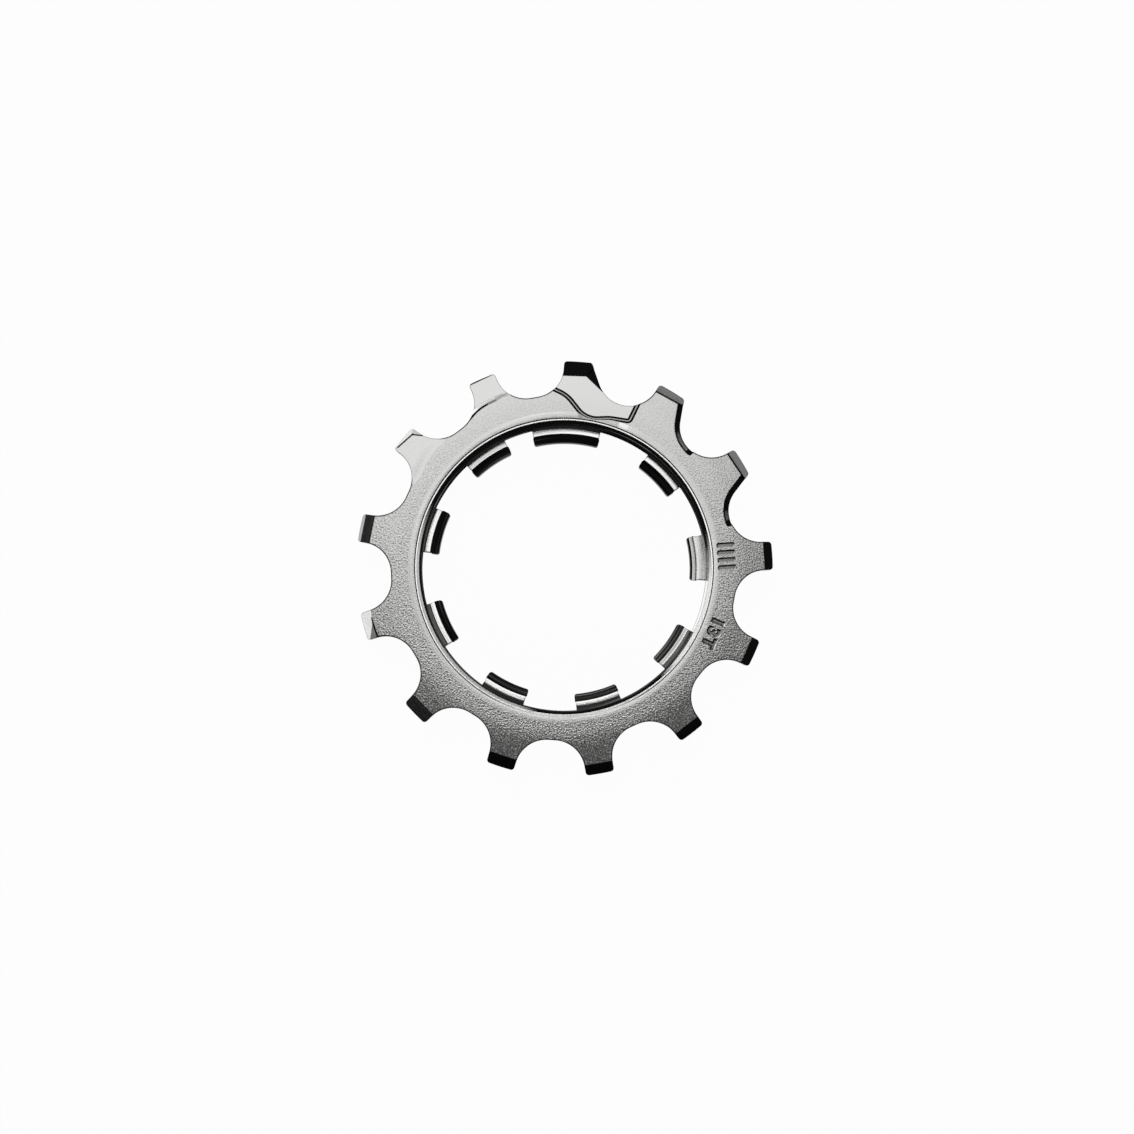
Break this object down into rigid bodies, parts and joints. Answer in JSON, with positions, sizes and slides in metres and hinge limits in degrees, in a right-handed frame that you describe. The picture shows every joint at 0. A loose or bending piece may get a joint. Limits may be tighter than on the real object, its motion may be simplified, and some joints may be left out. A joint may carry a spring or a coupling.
{
  "type": "bicycle cassette sprocket",
  "caption": "Small cassette sprocket with pressed shift ramps, a drawn spacer collar and set-back spline tabs inside its bore.",
  "frame": {"origin": "on the bore axis, in the plane of the collar's back face, which the part rests on", "axes": "+Z along the bore axis, out of the face with the shift ramps; +Y towards the middle of the widest spline tab"},
  "size_m": [0.0546, 0.0545, 0.0048],
  "materials": {
    "plated_steel": "satin nickel plate over tumbled steel"
  },
  "bodies": {
    "root": {"sprocket": "plated_steel"}
  },
  "joints": []
}
